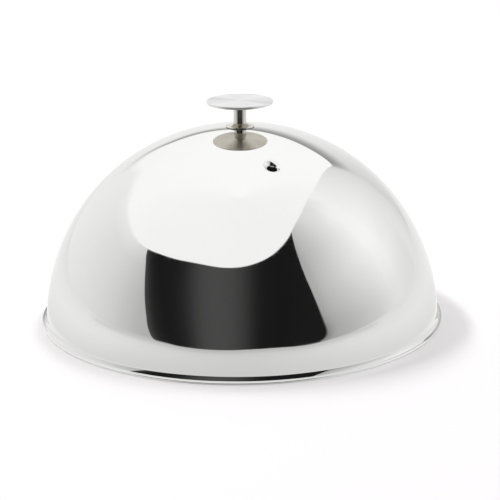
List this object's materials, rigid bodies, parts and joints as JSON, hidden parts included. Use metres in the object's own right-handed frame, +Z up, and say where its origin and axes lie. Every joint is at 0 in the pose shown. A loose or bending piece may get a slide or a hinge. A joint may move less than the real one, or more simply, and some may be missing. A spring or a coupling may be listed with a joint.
{
  "type": "cooking dome",
  "caption": "Hemispherical polished metal cooking dome with a flared and hemmed brim, a drawn-in steam vent and a bolted stem-and-disc lifting knob, set over food to trap heat and steam.",
  "frame": {"origin": "centre of the flat resting face under the brim", "axes": "+Z up along the dome's axis through the knob; -Y to the front, the side seen in the picture; +X to the viewer's right; the vent is on the front, a little to the right"},
  "size_m": [0.3072, 0.3072, 0.167],
  "materials": {
    "polished_steel": "mirror-polished stainless sheet outside, fine turned lines inside",
    "turned_steel": "turned and lightly polished stainless bar",
    "satin_steel": "satin stainless plate, ring-turned underneath",
    "fastener_steel": "plain bright stainless fasteners",
    "seal_rubber": "thin pale heat-proof silicone"
  },
  "bodies": {
    "root": {"dome_shell": "polished_steel", "foot_gasket": "seal_rubber", "knob_stem": "turned_steel", "knob_disc": "satin_steel", "knob_stud": "fastener_steel", "inner_washer": "fastener_steel", "lock_washer": "fastener_steel", "cap_nut": "fastener_steel"}
  },
  "joints": []
}
